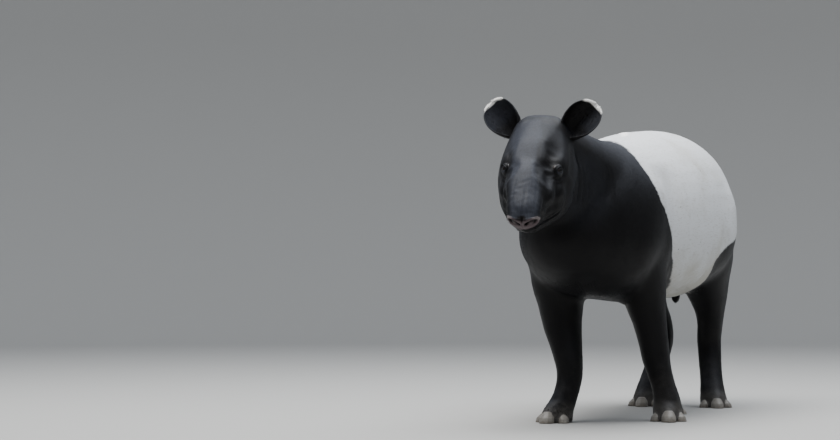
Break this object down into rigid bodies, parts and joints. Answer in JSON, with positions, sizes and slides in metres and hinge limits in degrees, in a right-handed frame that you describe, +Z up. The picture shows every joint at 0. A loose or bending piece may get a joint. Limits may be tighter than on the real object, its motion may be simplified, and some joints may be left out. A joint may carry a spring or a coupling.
{
  "type": "malayan tapir",
  "caption": "Life-size standing tapir with a short drooping snout, cupped ears, hoofed toes and a pale saddle behind black forequarters.",
  "frame": {"origin": "on the floor, under the middle of the whole model's box", "axes": "the head end faces -Y, the animal's left side is +X, +Z is up"},
  "size_m": [0.633, 2.0068, 1.1168],
  "materials": {
    "black_hide": "short flat black coat over skin",
    "pale_hide": "short flat grey-white coat over skin",
    "hoof_horn": "dull pale horn",
    "eye": "wet and glossy"
  },
  "bodies": {
    "root": {"ear_left": "black_hide", "ear_right": "black_hide", "eye_left": "eye", "eye_right": "eye", "fore_left_cannon": "black_hide", "fore_left_foot": "black_hide", "fore_left_forearm": "black_hide", "fore_right_cannon": "black_hide", "fore_right_foot": "black_hide", "fore_right_forearm": "black_hide", "groin_fold": "black_hide", "head": "black_hide", "hind_left_foot": "black_hide", "hind_left_shank": "black_hide", "hind_left_thigh": "black_hide", "hind_right_foot": "black_hide", "hind_right_shank": "black_hide", "hind_right_thigh": "black_hide", "hoof_fore_left_inner": "hoof_horn", "hoof_fore_left_middle": "hoof_horn", "hoof_fore_left_outer": "hoof_horn", "hoof_fore_left_small": "hoof_horn", "hoof_fore_right_inner": "hoof_horn", "hoof_fore_right_middle": "hoof_horn", "hoof_fore_right_outer": "hoof_horn", "hoof_fore_right_small": "hoof_horn", "hoof_hind_left_inner": "hoof_horn", "hoof_hind_left_middle": "hoof_horn", "hoof_hind_left_outer": "hoof_horn", "hoof_hind_right_inner": "hoof_horn", "hoof_hind_right_middle": "hoof_horn", "hoof_hind_right_outer": "hoof_horn", "lower_jaw": "black_hide", "muzzle": "black_hide", "neck": "black_hide", "saddle": "pale_hide", "shoulders": "black_hide", "tail": "pale_hide"}
  },
  "joints": []
}
